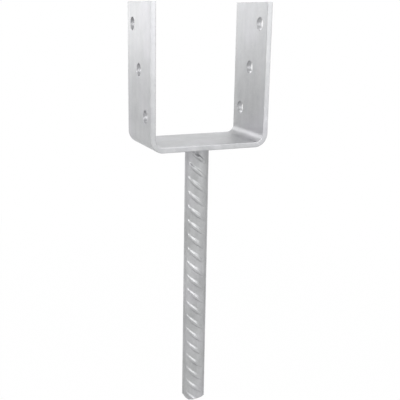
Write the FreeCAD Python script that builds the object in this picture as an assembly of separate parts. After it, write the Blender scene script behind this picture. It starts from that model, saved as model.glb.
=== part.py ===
import FreeCAD, Part
import math
import os

Vector = FreeCAD.Vector

# Saddle: one strap folded up on both sides of the post. The origin is the middle of the
# seat that the post stands on, X runs from leg to leg, Y across the strap, Z up.
post_gap = 101.0
strap_thickness = 5.0
strap_width = 60.0
leg_height = 120.0
bend_radius = 7.0
arris_radius = 0.8

# Bolt holes of one leg, evenly spaced from near one edge of the strap to near the other
# as they rise: distances to the middles of the lowest and the highest hole
holes_per_leg = 3
hole_diameter = 11.0
lowest_hole_height = 25.0
top_hole_depth = 18.4
hole_edge_distance = 13.5

# Ribbed bar: stands square under the middle of the seat. Its turn is how far the middle of
# the front row of ribs lies from straight ahead, which is -Y, towards -X.
bar_core_diameter = 19.4
bar_length = 253.5
bar_turn = 20.0

# Cross ribs: crescents in two rows that lean opposite ways, reaching as far to each side
# of their row's middle as the reach angle
rib_height = 1.4
rib_pitch = 13.5
rib_lean = 40.0
rib_reach = 60.0
rib_flank_slope = 42.0
rib_crest_width = 2.0
first_rib_depth = 9.0

# Long ribs: the rounded beads that part the two rows
long_rib_height = 1.1
long_rib_radius = 2.0

# Cropped end: the shears slanted its front right, from a line that lies off the axis by the
# shear offset, and crushed its left to a bevel. The heading is turned from right to front.
shear_slant = 20.4
shear_heading = 58.0
shear_offset = 3.8
bevel_slant = 22.0
bevel_width = 5.6

# Weld bead in the corner between the bar and the strap
weld_leg = 1.6

bar_radius = bar_core_diameter / 2
long_rib_reach = bar_radius + long_rib_height
underside = -strap_thickness
bar_end = underside - bar_length
cut_overrun = 2 * bar_core_diameter
rib_half_steps = 4
rib_overrun = 1.1
crest_taper = 0.8


def bend(middle_x, radius, side):
    """Quarter circle under the corner on one side, from the seat's plane to the leg's."""
    centre = Vector(side * middle_x, 0, bend_radius)
    halfway = radius * math.sqrt(0.5)
    start = centre + Vector(0, 0, -radius)
    middle = centre + Vector(side * halfway, 0, -halfway)
    end = centre + Vector(side * radius, 0, 0)
    return Part.Arc(start, middle, end).toShape()


def strap_profile():
    """The folded strap's outline in the XZ plane, as a face."""
    bend_middle = post_gap / 2 - bend_radius
    inner, outer = [], []
    for side in (-1, 1):
        inner.append(bend(bend_middle, bend_radius, side))
        outer.append(bend(bend_middle, bend_radius + strap_thickness, side))
    edges = inner + outer
    for left, right in (inner, outer):
        edges.append(Part.makeLine(left.Vertexes[0].Point, right.Vertexes[0].Point))
    for inside, outside in zip(inner, outer):
        inside_foot = inside.Vertexes[-1].Point
        outside_foot = outside.Vertexes[-1].Point
        inside_top = Vector(inside_foot.x, 0, leg_height)
        outside_top = Vector(outside_foot.x, 0, leg_height)
        edges.append(Part.makeLine(inside_foot, inside_top))
        edges.append(Part.makeLine(inside_top, outside_top))
        edges.append(Part.makeLine(outside_top, outside_foot))
    return Part.Face(Part.Wire(Part.__sortEdges__(edges)))


def is_rolled_edge(edge):
    """True for the edges that run along the strap, which its rolling has rounded."""
    points = [vertex.Point for vertex in edge.Vertexes]
    runs_across = abs(points[0].y - points[-1].y) > strap_width / 2
    at_end = min(point.z for point in points) > leg_height - arris_radius
    return not runs_across and not at_end


def make_saddle():
    strap = strap_profile().extrude(Vector(0, strap_width, 0))
    strap.translate(Vector(0, -strap_width / 2, 0))
    rolled_edges = [edge for edge in strap.Edges if is_rolled_edge(edge)]
    strap = strap.makeFillet(arris_radius, rolled_edges)
    hole_reach = strap_width / 2 - hole_edge_distance
    hole_rise = leg_height - top_hole_depth - lowest_hole_height
    for side in (-1, 1):
        for index in range(holes_per_leg):
            share = index / (holes_per_leg - 1)
            across = side * (1 - 2 * share) * hole_reach
            height = lowest_hole_height + share * hole_rise
            start = Vector(side * (post_gap / 2 - strap_thickness), across, height)
            strap = strap.cut(
                Part.makeCylinder(
                    hole_diameter / 2, 3 * strap_thickness, start, Vector(side, 0, 0)
                )
            )
    return strap


def rib_section(place, side):
    """Outline across a rib at a place, which is -1 at its left end, 0 in the middle and 1
    at its right end. The crest narrows and runs out into the core at both ends."""
    lean = math.radians(rib_lean)
    crest_radius = bar_radius + rib_height * (1 - place**2)
    root_radius = bar_radius - rib_height
    half_crest = rib_crest_width / 2 * (1 - crest_taper * place**2)
    flank_run = (crest_radius - root_radius) / math.tan(math.radians(rib_flank_slope))
    half_root = half_crest + flank_run
    turn = math.radians(rib_reach) * place
    drop = side * turn * bar_radius * math.tan(lean)
    corners = []
    for radius, across in (
        (root_radius, -half_root),
        (crest_radius, -half_crest),
        (crest_radius, half_crest),
        (root_radius, half_root),
    ):
        angle = turn + side * across * math.sin(lean) / bar_radius
        height = across * math.cos(lean) - drop
        corners.append(Vector(radius * math.sin(angle), -radius * math.cos(angle), height))
    return Part.makePolygon(corners + corners[:1])


def cross_ribs():
    """Both rows of ribs, from above the top of the bar to below its end."""
    count = math.ceil(bar_length / rib_pitch) + 2
    steps = range(-rib_half_steps, rib_half_steps + 1)
    places = [rib_overrun * step / rib_half_steps for step in steps]
    ribs = []
    for side in (1, -1):
        rib = Part.makeLoft([rib_section(place, side) for place in places], True, False)
        rib.rotate(Vector(), Vector(0, 0, 1), -bar_turn + (180 if side < 0 else 0))
        for index in range(-1, count - 1):
            height = underside - first_rib_depth - index * rib_pitch
            ribs.append(rib.translated(Vector(0, 0, height)))
    return ribs


def long_ribs():
    """The two beads between the rows of cross ribs."""
    stock_length = bar_length + 2 * cut_overrun
    beads = []
    for side in (1, -1):
        foot = Vector(side * (long_rib_reach - long_rib_radius), 0, bar_end - cut_overrun)
        bead = Part.makeCylinder(long_rib_radius, stock_length, foot)
        bead.rotate(Vector(), Vector(0, 0, 1), -bar_turn)
        beads.append(bead)
    return beads


def space_below(offset, slant, heading):
    """A block that fills what lies below a slanting plane. The plane crosses the level of
    the bar's end at an offset from its axis and rises from there in its heading, which is
    turned from the front row's right to its front."""
    size = 3 * cut_overrun
    block = Part.makeBox(size, size, size, Vector(-size / 2, -size / 2, -size))
    block.rotate(Vector(), Vector(0, 1, 0), -slant)
    block.translate(Vector(offset, 0, bar_end))
    block.rotate(Vector(), Vector(0, 0, 1), -bar_turn - heading)
    return block


def bar_limits():
    """The room that the bar fills: square at the top, slanted and crushed at the end."""
    radius = bar_radius + 2 * (rib_height + long_rib_height)
    room = Part.makeCylinder(radius, bar_length, Vector(0, 0, bar_end))
    room = room.cut(space_below(shear_offset, shear_slant, shear_heading))
    return room.cut(space_below(bar_radius - bevel_width, bevel_slant, 180))


def make_bar():
    foot = Vector(0, 0, bar_end - cut_overrun)
    core = Part.makeCylinder(bar_radius, bar_length + 2 * cut_overrun, foot)
    beaded = core.multiFuse(long_ribs())
    ribbed = beaded.multiFuse(cross_ribs())
    return ribbed.common(bar_limits()).removeSplitter()


def make_weld(bar):
    """A bead with a 45 degree face, cut to the bar's own surface."""
    overlap = bar_radius / 10
    widest = long_rib_reach + weld_leg
    narrowest = bar_radius - overlap
    depth = widest - narrowest
    bead = Part.makeCone(narrowest, widest, depth, Vector(0, 0, underside - depth))
    return bead.cut(bar)


saddle = make_saddle()
ribbed_bar = make_bar()
weld_bead = make_weld(ribbed_bar)

os.makedirs("parts", exist_ok=True)
for name, shape in (
    ("saddle", saddle),
    ("ribbed_bar", ribbed_bar),
    ("weld_bead", weld_bead),
):
    if shape.ShapeType != "Solid":
        shape = shape.Solids[0]
    shape.exportStep(f"parts/{name}.step")
    print(name, "valid" if shape.isValid() else "not valid", round(shape.Volume, 1))
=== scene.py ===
import bpy
import bmesh
import math
from mathutils import Matrix, Vector, noise


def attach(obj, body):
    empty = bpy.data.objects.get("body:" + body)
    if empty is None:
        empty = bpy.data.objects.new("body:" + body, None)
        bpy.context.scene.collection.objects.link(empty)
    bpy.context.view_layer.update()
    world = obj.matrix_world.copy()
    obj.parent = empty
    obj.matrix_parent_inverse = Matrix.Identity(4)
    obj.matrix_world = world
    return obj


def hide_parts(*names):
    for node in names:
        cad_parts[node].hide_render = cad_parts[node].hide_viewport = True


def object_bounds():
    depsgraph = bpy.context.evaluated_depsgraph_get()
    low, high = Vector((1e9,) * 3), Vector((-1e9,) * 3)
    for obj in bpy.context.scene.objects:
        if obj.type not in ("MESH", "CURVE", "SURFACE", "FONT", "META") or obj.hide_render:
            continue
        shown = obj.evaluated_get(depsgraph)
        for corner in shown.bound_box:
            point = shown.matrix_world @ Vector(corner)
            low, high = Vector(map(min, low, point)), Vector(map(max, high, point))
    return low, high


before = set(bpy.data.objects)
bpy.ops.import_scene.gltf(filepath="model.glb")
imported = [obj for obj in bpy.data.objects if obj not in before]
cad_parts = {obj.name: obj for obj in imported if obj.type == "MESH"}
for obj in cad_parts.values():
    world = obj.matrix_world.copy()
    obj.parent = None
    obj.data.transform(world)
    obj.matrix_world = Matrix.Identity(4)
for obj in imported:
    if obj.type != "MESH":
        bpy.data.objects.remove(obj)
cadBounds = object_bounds()
mm = 0.001


class Wire:
    # a socket that can be calculated with
    def __init__(self, maker, socket):
        self.maker = maker
        self.socket = socket

    def math(self, operation, *values):
        return self.maker.add("ShaderNodeMath", {"operation": operation}, dict(enumerate(values)))

    def __add__(self, other):
        return self.math("ADD", self, other)

    def __radd__(self, other):
        return self.math("ADD", other, self)

    def __sub__(self, other):
        return self.math("SUBTRACT", self, other)

    def __rsub__(self, other):
        return self.math("SUBTRACT", other, self)

    def __mul__(self, other):
        return self.math("MULTIPLY", self, other)

    def __rmul__(self, other):
        return self.math("MULTIPLY", other, self)

    def __truediv__(self, other):
        return self.math("DIVIDE", self, other)

    def __neg__(self):
        return self.math("MULTIPLY", self, -1.0)

    def __abs__(self):
        return self.math("ABSOLUTE", self)

    def above(self, limit):
        return self.math("MAXIMUM", self, limit)

    def below(self, limit):
        return self.math("MINIMUM", self, limit)

    def exceeds(self, limit):
        return self.math("GREATER_THAN", self, limit)

    def smoothAbove(self, limit, rounding):
        return self.math("SMOOTH_MAX", self, limit, rounding)

    def smoothBelow(self, limit, rounding):
        return self.math("SMOOTH_MIN", self, limit, rounding)

    def sign(self):
        return self.math("SIGN", self)

    def sine(self):
        return self.math("SINE", self)

    def cosine(self):
        return self.math("COSINE", self)

    def tangent(self):
        return self.math("TANGENT", self)

    def root(self):
        return self.math("SQRT", self)

    def wrapped(self, half):
        return self.math("WRAP", self, half, -half)


class Maker:
    # adds nodes to a tree and links them
    def __init__(self, nodeTree):
        self.nodeTree = nodeTree

    def feed(self, socket, value):
        if isinstance(value, Wire):
            self.nodeTree.links.new(value.socket, socket)
        else:
            socket.default_value = value

    def add(self, kind, settings=None, inputs=None, output=0):
        node = self.nodeTree.nodes.new(kind)
        for name, value in (settings or {}).items():
            setattr(node, name, value)
        for name, value in (inputs or {}).items():
            self.feed(node.inputs[name], value)
        return Wire(self, node.outputs[output])

    def split(self, vector):
        # wires for the x, y and z of a vector
        node = self.nodeTree.nodes.new("ShaderNodeSeparateXYZ")
        self.feed(node.inputs[0], vector)
        return [Wire(self, output) for output in node.outputs]

    def finish(self, kind, wire):
        # the tree's own output node
        output = self.nodeTree.nodes.new(kind)
        self.feed(output.inputs[0], wire)


def newObject(name, data):
    piece = bpy.data.objects.new(name, data)
    bpy.context.scene.collection.objects.link(piece)
    return piece


def emptyTree(owner):
    # a maker for the cleared tree of a material or the world
    owner.use_nodes = True
    owner.node_tree.nodes.clear()
    return Maker(owner.node_tree)


def geometryTree(name, inputs):
    # a Geometry Nodes tree with named inputs; gives its maker and a wire for each input
    nodeTree = bpy.data.node_groups.new(name, "GeometryNodeTree")
    nodeTree.interface.new_socket("Geometry", in_out="OUTPUT", socket_type="NodeSocketGeometry")
    for title, value in inputs.items():
        kind = "NodeSocketInt" if isinstance(value, int) else "NodeSocketFloat"
        socket = nodeTree.interface.new_socket(title, in_out="INPUT", socket_type=kind)
        socket.default_value = value
    maker = Maker(nodeTree)
    source = nodeTree.nodes.new("NodeGroupInput")
    wires = {title: Wire(maker, source.outputs[title]) for title in inputs}
    return maker, wires


def finishTree(maker, geometry, material):
    whole = maker.add("GeometryNodeRealizeInstances", inputs={0: geometry})
    dressed = maker.add("GeometryNodeSetMaterial", inputs={0: whole, "Material": material})
    maker.finish("NodeGroupOutput", dressed)


def keepResult(piece, modifier):
    # what the modifier makes becomes the piece's plain mesh
    bpy.context.view_layer.update()
    evaluated = piece.evaluated_get(bpy.context.evaluated_depsgraph_get())
    mesh = bpy.data.meshes.new_from_object(evaluated)
    piece.modifiers.remove(modifier)
    piece.data = mesh


def meshFromTree(name, nodeTree, sizes):
    # runs a tree on an empty object and keeps its result as a plain mesh
    holder = newObject(name, bpy.data.meshes.new(name + "Start"))
    modifier = holder.modifiers.new("shape", "NODES")
    modifier.node_group = nodeTree
    for item in nodeTree.interface.items_tree:
        if item.in_out == "INPUT" and item.name in sizes:
            modifier[item.identifier] = sizes[item.name]
    keepResult(holder, modifier)
    holder.data.name = name
    return holder


clouds = {  # the noises in the zinc, the same on every piece
    "mottle": {"scale": 70.0, "detail": 3.0, "roughness": 0.55, "stretch": (1, 1, 1)},
    "streak": {"scale": 160.0, "detail": 2.0, "roughness": 0.55, "stretch": (1, 1, 0.16)},
    "grain": {"scale": 900.0, "detail": 4.0, "roughness": 0.65, "stretch": (1, 1, 1)},
    "tint": {"scale": 28.0, "detail": 1.0, "roughness": 0.55, "stretch": (1, 1, 1)},
    "wave": {"scale": 110.0, "detail": 2.0, "roughness": 0.55, "stretch": (1, 1, 1)},
}


def galvanised(name, look):
    material = bpy.data.materials.new(name)
    maker = emptyTree(material)
    place = maker.add("ShaderNodeTexCoord", output="Object")

    def cloud(title):
        shape = clouds[title]
        spot = maker.add("ShaderNodeMapping", inputs={"Vector": place, "Scale": shape["stretch"]})
        return maker.add(
            "ShaderNodeTexNoise",
            inputs={
                "Vector": spot,
                "Scale": shape["scale"],
                "Detail": shape["detail"],
                "Roughness": shape["roughness"],
            },
        )

    mottle = cloud("mottle")
    streak = cloud("streak")
    grain = cloud("grain")
    crystal = maker.add(
        "ShaderNodeTexVoronoi",
        inputs={"Vector": place, "Scale": look["crystalScale"], "Randomness": 1.0},
        output="Color",
    )
    crystalTone = maker.add("ShaderNodeSeparateColor", inputs={0: crystal})
    tone = (
        0.5
        + (mottle - 0.5) * look["mottle"]
        + (streak - 0.5) * look["streak"]
        + (grain - 0.5) * look["grain"]
        + (crystalTone - 0.5) * look["crystal"]
    )
    colour = maker.add(
        "ShaderNodeMix",
        {"data_type": "RGBA", "clamp_factor": True},
        {0: tone, 6: look["dark"], 7: look["light"]},
        output=2,
    )
    tintShare = (cloud("tint") - look["tintFrom"]) * look["tint"]
    tinted = maker.add(
        "ShaderNodeMix",
        {"data_type": "RGBA", "clamp_factor": True},
        {0: tintShare, 6: colour, 7: look["tintColour"]},
        output=2,
    )
    rough = (
        look["roughness"]
        + (mottle - 0.5) * look["mottleRoughens"]
        + (grain - 0.5) * look["grainRoughens"]
    )
    height = cloud("wave") * look["wave"] + grain * look["pitting"]
    bump = maker.add(
        "ShaderNodeBump", inputs={"Strength": 1.0, "Distance": mm, "Height": height}
    )
    shader = maker.add(
        "ShaderNodeBsdfPrincipled",
        inputs={
            "Base Color": tinted,
            "Metallic": look["metallic"],
            "Roughness": rough,
            "Specular Tint": look["rimTint"],
            "Normal": bump,
        },
    )
    maker.finish("ShaderNodeOutputMaterial", shader)
    return material


def varied(look, **changes):
    return {**look, **changes}


strapLook = {
    "dark": (0.378, 0.383, 0.396, 1),
    "light": (0.558, 0.563, 0.567, 1),
    "tintColour": (0.66, 0.64, 0.70, 1),
    "tint": 0.8,
    "tintFrom": 0.45,  # the tint shows where its noise is above this
    "mottle": 0.9,
    "streak": 0.5,
    "grain": 0.5,
    "crystal": 0.12,
    "crystalScale": 420.0,
    "metallic": 0.55,
    "roughness": 0.42,
    "mottleRoughens": 0.16,
    "grainRoughens": 0.12,
    "rimTint": (1, 1, 1, 1),  # the shine where the surface turns away
    "wave": 0.22,
    "pitting": 0.03,
}
stemLook = varied(
    strapLook,
    dark=(0.344, 0.349, 0.354, 1),
    light=(0.595, 0.601, 0.606, 1),
    roughness=0.36,
    rimTint=(0.4, 0.4, 0.4, 1),
    wave=0.1,
)
weldLook = varied(
    stemLook,
    dark=(0.26, 0.26, 0.27, 1),
    light=(0.52, 0.53, 0.54, 1),
    pitting=0.08,
)

strapZinc = galvanised("strapZinc", strapLook)
stemZinc = galvanised("stemZinc", stemLook)
weldZinc = galvanised("weldZinc", weldLook)
print("zinc finishes made")


strapSizes = {
    "Clear Width": 101 * mm,
    "Thickness": 5 * mm,
    "Strap Width": 60 * mm,
    "Leg Height": 120 * mm,
    "Inner Bend": 7 * mm,
    "Arris Radius": 0.8 * mm,
    "Hole Radius": 5.5 * mm,
    "Hole Lip": 0.5 * mm,
    "Lowest Hole": 25 * mm,
    "Hole Spacing": 38.3 * mm,
    "Hole Step": 16.5 * mm,
    "Bend Steps": 24,
    "Arris Steps": 5,
    "Hole Sides": 72,
}
holesPerLeg = 3
drillShape = {
    "rings": 20,  # along the whole drill, which is 2 long before its rings are moved
    "bore": 0.5,  # rings up to here, from its middle, are the straight bore
    "flare": 0.9,  # rings from there up to here curve out over the rim
    "tip": 0.91,  # rings past here reach well clear of the strap
    "clearance": 0.002 * mm,  # how far the flare passes the strap's face
}
shearedEnd = {
    "rounding": 0.25 * mm,
    "steps": 2,
    "sharperThan": math.radians(60),  # edges that turn more than this are rounded
    "nearTop": 0.1 * mm,
}


def flaredDrill(maker, size):
    # a cylinder whose rings are moved so that it widens over both rims of its hole
    bore = drillShape["bore"]
    flare = drillShape["flare"]
    rod = maker.add(
        "GeometryNodeMeshCylinder",
        {"fill_type": "NGON"},
        {
            "Vertices": size["Hole Sides"],
            "Side Segments": drillShape["rings"],
            "Radius": 1.0,
            "Depth": 2.0,
        },
    )
    x, y, z = maker.split(maker.add("GeometryNodeInputPosition"))
    out = abs(z)
    turn = ((out - bore) / (flare - bore)).above(0.0).below(1.0) * (math.pi / 2)
    straight = (out / bore).below(1.0) * (size["Thickness"] / 2 - size["Hole Lip"])
    beyond = out.exceeds(drillShape["tip"]) * size["Thickness"]
    depth = straight + turn.sine() * (size["Hole Lip"] + drillShape["clearance"]) + beyond
    radius = size["Hole Radius"] + size["Hole Lip"] * (1.0 - turn.cosine())
    spot = maker.add(
        "ShaderNodeCombineXYZ", inputs={0: x * radius, 1: y * radius, 2: depth * z.sign()}
    )
    return maker.add("GeometryNodeSetPosition", inputs={0: rod, "Position": spot})


def strapTree(material):
    maker, size = geometryTree("foldedStrap", strapSizes)
    middle = size["Clear Width"] / 2 + size["Thickness"] / 2
    # the strap's middle line: down the left leg, across under the post and up the right leg
    line = maker.add("GeometryNodeMeshLine", inputs={"Count": 4})
    index = maker.add("GeometryNodeInputIndex")
    isRight = maker.add(
        "FunctionNodeCompare", {"data_type": "INT", "operation": "GREATER_THAN"}, {2: index, 3: 1}
    )
    isEnd = maker.add(
        "FunctionNodeCompare",
        {"data_type": "FLOAT", "operation": "GREATER_THAN"},
        {0: abs(index - 1.5), 1: 1.0},
    )
    x = maker.add(
        "GeometryNodeSwitch", {"input_type": "FLOAT"}, {0: isRight, 1: -middle, 2: middle}
    )
    z = maker.add(
        "GeometryNodeSwitch",
        {"input_type": "FLOAT"},
        {0: isEnd, 1: size["Thickness"] / -2, 2: size["Leg Height"]},
    )
    spot = maker.add("ShaderNodeCombineXYZ", inputs={0: x, 2: z})
    placed = maker.add("GeometryNodeSetPosition", inputs={0: line, "Position": spot})
    corners = maker.add("GeometryNodeMeshToCurve", inputs={0: placed})
    bend = size["Inner Bend"] + size["Thickness"] / 2
    path = maker.add(
        "GeometryNodeFilletCurve",
        {"mode": "POLY"},
        {0: corners, "Count": size["Bend Steps"], "Radius": bend},
    )
    outline = maker.add(
        "GeometryNodeCurvePrimitiveQuadrilateral",
        inputs={"Width": size["Thickness"], "Height": size["Strap Width"]},
    )
    section = maker.add(
        "GeometryNodeFilletCurve",
        {"mode": "POLY"},
        {0: outline, "Count": size["Arris Steps"], "Radius": size["Arris Radius"]},
    )
    strap = maker.add(
        "GeometryNodeCurveToMesh",
        inputs={"Curve": path, "Profile Curve": section, "Fill Caps": True},
    )
    # one drill for each hole, stepping from one edge of the strap to the other as they rise
    grid = maker.add("GeometryNodeMeshLine", inputs={"Count": 2 * holesPerLeg})
    isRightHole = index.exceeds(holesPerLeg - 0.5)
    level = index - isRightHole * holesPerLeg
    side = isRightHole * 2.0 - 1.0
    halfRise = (holesPerLeg - 1) / 2
    holeSpot = maker.add(
        "ShaderNodeCombineXYZ",
        inputs={
            0: side * middle,
            1: side * (halfRise - level) * size["Hole Step"],
            2: size["Lowest Hole"] + level * size["Hole Spacing"],
        },
    )
    spots = maker.add("GeometryNodeSetPosition", inputs={0: grid, "Position": holeSpot})
    drill = flaredDrill(maker, size)
    turned = maker.add("ShaderNodeCombineXYZ", inputs={1: math.pi / 2})
    drills = maker.add(
        "GeometryNodeInstanceOnPoints",
        inputs={"Points": spots, "Instance": drill, "Rotation": turned},
    )
    cutters = maker.add("GeometryNodeRealizeInstances", inputs={0: drills})
    cut = maker.add(
        "GeometryNodeMeshBoolean",
        {"operation": "DIFFERENCE", "solver": "EXACT"},
        {"Mesh 1": strap, "Mesh 2": cutters},
    )
    finishTree(maker, cut, material)
    return maker.nodeTree


def roundEdges(mesh, chosen, width, steps):
    shape = bmesh.new()
    shape.from_mesh(mesh)
    edges = [edge for edge in shape.edges if chosen(edge)]
    bmesh.ops.bevel(
        shape, geom=edges, offset=width, offset_type="OFFSET", segments=steps,
        profile=0.5, affect="EDGES", clamp_overlap=True,
    )
    shape.to_mesh(mesh)
    shape.free()


def onShearedEnd(edge):
    if len(edge.link_faces) != 2 or edge.calc_face_angle() < shearedEnd["sharperThan"]:
        return False
    lowest = min(vertex.co.z for vertex in edge.verts)
    return lowest > strapSizes["Leg Height"] - shearedEnd["nearTop"]


def weighNormals(piece, weight=100):
    # flat faces stay flat next to their rounded edges; 100 is the most that weight can be
    for polygon in piece.data.polygons:
        polygon.use_smooth = True
    modifier = piece.modifiers.new("normals", "WEIGHTED_NORMAL")
    modifier.mode = "FACE_AREA"
    modifier.weight = weight
    modifier.keep_sharp = True
    keepResult(piece, modifier)


strap = meshFromTree("strap", strapTree(strapZinc), strapSizes)
roundEdges(strap.data, onShearedEnd, shearedEnd["rounding"], shearedEnd["steps"])
weighNormals(strap)
print("strap folded and drilled:", len(strap.data.polygons), "faces")


stemSizes = {
    "Core Radius": 9.7 * mm,
    "Top": -5 * mm,
    "Length": 260 * mm,  # before its end is cropped
    "Turn": math.radians(20),
    "Rib Height": 1.4 * mm,
    "Rib Pitch": 13.5 * mm,
    "Rib Lean": math.radians(40),
    "Rib Reach": math.radians(60),
    "First Rib": 14 * mm,
    "Crest Width": 2 * mm,
    "Crest Taper": 0.8,  # how much of that is lost at a rib's ends
    "Upper Flank": math.radians(42),
    "Lower Flank": math.radians(62),
    "Crest Rounding": 0.3 * mm,
    "Root Rounding": 0.4 * mm,
    "Long Rib Height": 1.1 * mm,
    "Long Rib Radius": 2.0 * mm,
    "Unevenness": 0.12 * mm,
    "Lump Scale": 150.0,
    "Lump Detail": 2.0,
    "Pit Depth": 1.6 * mm,  # burnt into the bar where the weld runs out
    "Pit Angle": math.radians(-112),
    "Pit Level": -11.8 * mm,
    "Pit Length": 2.9 * mm,
    "Pit Width": 1.3 * mm,
    "Sides": 128,
    "Rows": 600,
    "Seed": 3,
}
stemEnd = {
    "bottom": -258.5 * mm,
    "flatFrom": 8,  # a face with this many sides or more is a cut and stays flat
    # each slanting cut: its slant, its heading from right round to front, its offset from the axis
    "cuts": [
        (math.radians(20.4), math.radians(58), 3.8 * mm),
        (math.radians(22), math.radians(180), 4.1 * mm),
    ],
}


def stemTree(material):
    maker, size = geometryTree("ribbedStem", stemSizes)
    radius = size["Core Radius"]
    tube = maker.add(
        "GeometryNodeMeshCylinder",
        {"fill_type": "NONE"},
        {
            "Vertices": size["Sides"],
            "Side Segments": size["Rows"],
            "Radius": radius,
            "Depth": size["Length"],
        },
    )
    position = maker.add("GeometryNodeInputPosition")
    x, y, level = maker.split(position)
    z = level - size["Length"] / 2 + size["Top"]
    angle = x.math("ARCTAN2", y, x)
    lean = size["Rib Lean"]

    def ribRow(side):
        facing = angle + (math.pi / 2 if side > 0 else -math.pi / 2) + size["Turn"]
        turn = facing.wrapped(math.pi)
        pitch = size["Rib Pitch"]
        along = z + size["First Rib"] + side * turn * radius * lean.tangent()
        across = along.wrapped(pitch / 2) * lean.cosine()
        place = (turn - side * across * lean.sine() / radius) / size["Rib Reach"]
        fade = place * place
        crest = size["Rib Height"] * (1 - fade)
        halfCrest = size["Crest Width"] / 2 * (1 - size["Crest Taper"] * fade.below(1.0))
        upper = crest + (halfCrest - across) * size["Upper Flank"].tangent()
        lower = crest + (halfCrest + across) * size["Lower Flank"].tangent()
        top = crest.smoothBelow(upper.below(lower), size["Crest Rounding"])
        return top.smoothAbove(0.0, size["Root Rounding"])

    def longRib(side):
        # stands a quarter turn from the middle of either row
        facing = angle + size["Turn"] + (0 if side > 0 else math.pi)
        turn = facing.wrapped(math.pi)
        reach = radius + size["Long Rib Height"]
        centre = reach - size["Long Rib Radius"]
        sideways = centre * turn.sine()
        inside = size["Long Rib Radius"] * size["Long Rib Radius"] - sideways * sideways
        bead = centre * turn.cosine() + inside.above(0.0).root() - radius
        shown = bead * inside.exceeds(0.0) * turn.cosine().exceeds(0.0)
        return shown.smoothAbove(0.0, size["Root Rounding"])

    def pit():
        sideways = (angle - size["Pit Angle"]).wrapped(math.pi) * radius
        upward = z - size["Pit Level"]
        along = (sideways * lean.cosine() - upward * lean.sine()) / size["Pit Length"]
        across = (sideways * lean.sine() + upward * lean.cosine()) / size["Pit Width"]
        inside = (1.0 - along * along - across * across).above(0.0)
        return size["Pit Depth"] * inside

    height = ribRow(1).above(ribRow(-1)).above(longRib(1)).above(longRib(-1)) - pit()
    lumps = maker.add(
        "ShaderNodeTexNoise",
        {"noise_dimensions": "4D"},
        {
            "Vector": position,
            "W": size["Seed"],
            "Scale": size["Lump Scale"],
            "Detail": size["Lump Detail"],
        },
    )
    outward = radius + height + (lumps - 0.5) * size["Unevenness"]
    spot = maker.add(
        "ShaderNodeCombineXYZ",
        inputs={0: outward * angle.cosine(), 1: outward * angle.sine(), 2: z},
    )
    ribbed = maker.add("GeometryNodeSetPosition", inputs={0: tube, "Position": spot})
    finishTree(maker, ribbed, material)
    return maker.nodeTree


def cropStem(mesh):
    # square top under the strap, slanting cuts at the bottom
    shape = bmesh.new()
    shape.from_mesh(mesh)
    planes = [(Vector((0, 0, stemEnd["bottom"])), Vector((0, 0, -1)))]
    for slant, heading, offset in stemEnd["cuts"]:
        turn = -stemSizes["Turn"] - heading
        rising = Vector((math.cos(turn), math.sin(turn), 0))
        point = rising * offset + Vector((0, 0, stemEnd["bottom"]))
        planes.append((point, Vector((0, 0, -math.cos(slant))) + rising * math.sin(slant)))
    for point, outward in planes:
        everything = shape.verts[:] + shape.edges[:] + shape.faces[:]
        cut = bmesh.ops.bisect_plane(
            shape, geom=everything, plane_co=point, plane_no=outward, clear_outer=True
        )
        rim = [item for item in cut["geom_cut"] if isinstance(item, bmesh.types.BMEdge)]
        rim = [edge for edge in rim if edge.is_valid and edge.is_boundary]
        bmesh.ops.holes_fill(shape, edges=rim, sides=0)
    bmesh.ops.holes_fill(shape, edges=[edge for edge in shape.edges if edge.is_boundary], sides=0)
    bmesh.ops.recalc_face_normals(shape, faces=shape.faces[:])
    for face in shape.faces:
        face.smooth = len(face.verts) < stemEnd["flatFrom"]
        if not face.smooth:
            for edge in face.edges:
                edge.smooth = False
    shape.to_mesh(mesh)
    shape.free()


stem = meshFromTree("ribbedStem", stemTree(stemZinc), stemSizes)
cropStem(stem.data)
print("stem ribbed and cropped:", len(stem.data.polygons), "faces")


weldSizes = {
    "top": -5 * mm,
    "inner": 9.2 * mm,
    "legOut": 1.5 * mm,
    "legDown": 1.7 * mm,
    "fullness": 0.9,  # below 1 the bead's face bulges
    "swell": 0.15 * mm,
    "ripple": 0.35 * mm,
    "rippleDown": 0.4,  # share of the ripple that also runs down
    "ripples": 34,
    "rippleDrift": 2.5,
    "wanderOut": 0.5 * mm,
    "wanderDown": 0.7 * mm,
    "outNoise": (2.3, Vector((4, 1, 7))),  # scale and offset
    "downNoise": (2.9, Vector((0, 0, 0))),
    "sunk": 0.1 * mm,  # the lower rim's depth in the bar's core
    "sides": 240,
    "steps": 12,
    # angle in degrees from +X, half width in degrees, extra run out, extra run down
    "lumps": [
        (-150, 26, 0.2 * mm, 2.4 * mm),
        (-122, 16, 0.1 * mm, 1.6 * mm),
        (-96, 10, -0.9 * mm, -1.0 * mm),
        (-60, 22, 0.3 * mm, 0.8 * mm),
        (40, 30, 0.5 * mm, 0.6 * mm),
        (120, 28, 0.7 * mm, 1.2 * mm),
    ],
}


def wander(direction, scale, offset):
    return noise.noise(direction * scale + offset)


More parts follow.
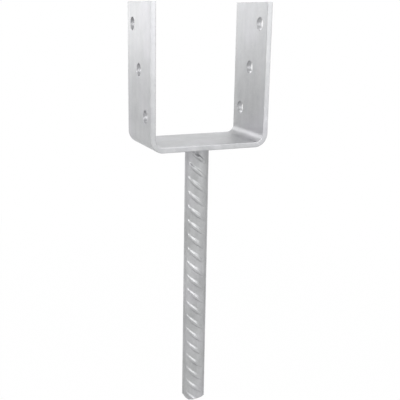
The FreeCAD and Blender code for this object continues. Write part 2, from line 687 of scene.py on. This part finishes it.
def weldMesh(sizes):
    shape = bmesh.new()
    radius = stemSizes["Core Radius"]
    rings = []
    for index in range(sizes["sides"]):
        angle = 2 * math.pi * index / sizes["sides"]
        direction = Vector((math.cos(angle), math.sin(angle), 0))
        out = sizes["legOut"]
        down = sizes["legDown"]
        for where, half, extraOut, extraDown in sizes["lumps"]:
            gap = (math.degrees(angle) - where + 180) % 360 - 180
            share = math.exp(-((gap / half) ** 2))
            out += extraOut * share
            down += extraDown * share
        drift = wander(direction, *sizes["outNoise"])
        ripple = abs(math.sin(sizes["ripples"] * angle / 2 + sizes["rippleDrift"] * drift))
        bulge = ripple * sizes["ripple"]
        out += drift * sizes["wanderOut"]
        down += wander(direction, *sizes["downNoise"]) * sizes["wanderDown"]
        ring = [shape.verts.new(direction * sizes["inner"] + Vector((0, 0, sizes["top"])))]
        for step in range(sizes["steps"] + 1):
            part = step / sizes["steps"]
            swell = math.sin(math.pi * part)
            reach = radius + out * (1 - part) ** sizes["fullness"] + swell * bulge
            drop = down * part ** sizes["fullness"]
            drop += swell * (sizes["swell"] + sizes["rippleDown"] * bulge)
            if step == sizes["steps"]:
                reach = radius - sizes["sunk"]
            spot = direction * reach + Vector((0, 0, sizes["top"] - drop))
            ring.append(shape.verts.new(spot))
        ring.append(
            shape.verts.new(direction * sizes["inner"] + Vector((0, 0, sizes["top"] - down)))
        )
        rings.append(ring)
    for ring, following in zip(rings, rings[1:] + rings[:1]):
        for a in range(len(ring)):
            b = (a + 1) % len(ring)
            face = shape.faces.new((ring[a], ring[b], following[b], following[a]))
            face.smooth = True
    bmesh.ops.recalc_face_normals(shape, faces=shape.faces[:])
    mesh = bpy.data.meshes.new("weldBead")
    shape.to_mesh(mesh)
    shape.free()
    mesh.materials.append(weldZinc)
    return mesh


weld = newObject("weldBead", weldMesh(weldSizes))
print("weld laid")

for piece, node, slot in (
    (strap, "saddle", "zinc_strap"),
    (stem, "ribbed_bar", "zinc_bar"),
    (weld, "weld_bead", "zinc_weld"),
):
    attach(piece, "root")
    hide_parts(node)


studio = {
    "floorColour": (0.86, 0.86, 0.86, 1),
    "floorSize": 60.0,
    "whiteShare": 0.99,  # how much of the floor that the camera sees is plain white
    "whiteFrom": 0.15,  # metres from the stem, beyond which that share rises
    "whiteTo": 0.7,
    "worldLevel": 0.2,
}
lamps = {
    "leftKey": {"place": (-0.587, 0.000, 0.155), "size": 0.3, "power": 0.95},
    "leftHigh": {"place": (-0.788, 0.000, 0.646), "size": 0.45, "power": 1.4},
    "frontKey": {"place": (-0.198, -0.491, 0.312), "size": 0.45, "power": 1.35},
    "rightKey": {"place": (0.113, -0.532, 0.284), "size": 0.25, "power": 0.6},
    "rightFill": {"place": (0.820, -0.820, 0.341), "size": 0.5, "power": 1.2},
    "lowFill": {"place": (0.363, -0.816, 0.140), "size": 0.35, "power": 0.95},
    "backRight": {"place": (0.316, 0.221, 0.490), "size": 0.4, "power": 1.65},
    "backLeft": {"place": (-0.198, 0.545, 0.185), "size": 0.3, "power": 0.5},
}
lookAt = Vector((0, 0, 0.03))


def seenDirectly(maker):
    rays = maker.nodeTree.nodes.new("ShaderNodeLightPath")
    camera = Wire(maker, rays.outputs["Is Camera Ray"])
    glossy = Wire(maker, rays.outputs["Is Glossy Ray"])
    through = Wire(maker, rays.outputs["Is Transmission Ray"])
    return (camera + glossy + through).below(1.0)


def makeFloor(height):
    half = studio["floorSize"] / 2
    signs = [(-1, -1), (1, -1), (1, 1), (-1, 1)]
    corners = [(half * x, half * y, height) for x, y in signs]
    mesh = bpy.data.meshes.new("floor")
    mesh.from_pydata(corners, [], [(0, 1, 2, 3)])
    floor = newObject("floor", mesh)
    material = bpy.data.materials.new("palePaper")
    maker = emptyTree(material)
    paper = maker.add("ShaderNodeBsdfDiffuse", inputs={"Color": studio["floorColour"]})
    white = maker.add("ShaderNodeEmission", inputs={"Color": (1, 1, 1, 1), "Strength": 1.0})
    place = maker.add("ShaderNodeTexCoord", output="Object")
    flat = maker.add("ShaderNodeVectorMath", {"operation": "MULTIPLY"}, {0: place, 1: (1, 1, 0)})
    away = maker.add("ShaderNodeVectorMath", {"operation": "LENGTH"}, {0: flat}, output="Value")
    share = maker.add(
        "ShaderNodeMapRange",
        {"interpolation_type": "SMOOTHSTEP"},
        {
            "Value": away,
            "From Min": studio["whiteFrom"],
            "From Max": studio["whiteTo"],
            "To Min": studio["whiteShare"],
            "To Max": 1.0,
        },
    )
    mixed = maker.add(
        "ShaderNodeMixShader", inputs={0: seenDirectly(maker) * share, 1: paper, 2: white}
    )
    maker.finish("ShaderNodeOutputMaterial", mixed)
    mesh.materials.append(material)


def makeWorld():
    world = bpy.data.worlds.new("whiteStudio")
    bpy.context.scene.world = world
    maker = emptyTree(world)
    strength = studio["worldLevel"] + seenDirectly(maker) * (1 - studio["worldLevel"])
    light = maker.add(
        "ShaderNodeBackground", inputs={"Color": (1, 1, 1, 1), "Strength": strength}
    )
    maker.finish("ShaderNodeOutputWorld", light)


def makeLamps():
    for name, values in lamps.items():
        data = bpy.data.lights.new(name, "AREA")
        data.shape = "SQUARE"
        data.size = values["size"]
        data.energy = values["power"]
        lamp = newObject(name, data)
        lamp.location = values["place"]
        lamp.rotation_euler = (lookAt - lamp.location).to_track_quat("-Z", "Y").to_euler()


makeFloor(cadBounds[0].z)
makeWorld()
makeLamps()


viewpoint = {
    "place": Vector((-254.641, -588.959, 111.788)) * mm,
    "yaw": math.radians(20.66),  # turned right of straight ahead
    "pitch": math.radians(14.76),  # looking down
    "roll": math.radians(0.24),
    "lens": 64.433,
    "sensor": 36.0,
    "shiftX": 0.0921,
    "nearest": 0.01,
    "farthest": 200.0,
}


def makeCamera():
    data = bpy.data.cameras.new("viewer")
    data.sensor_width = viewpoint["sensor"]
    data.lens = viewpoint["lens"]
    data.shift_x = viewpoint["shiftX"]
    data.clip_start = viewpoint["nearest"]
    data.clip_end = viewpoint["farthest"]
    camera = newObject("viewer", data)
    turn = Matrix.Rotation(-viewpoint["yaw"], 4, "Z")
    tilt = Matrix.Rotation(math.pi / 2 - viewpoint["pitch"], 4, "X")
    roll = Matrix.Rotation(viewpoint["roll"], 4, "Z")
    camera.matrix_world = Matrix.Translation(viewpoint["place"]) @ turn @ tilt @ roll
    bpy.context.scene.camera = camera


makeCamera()
bpy.context.scene.view_settings.view_transform = "Standard"
print("studio and camera set")
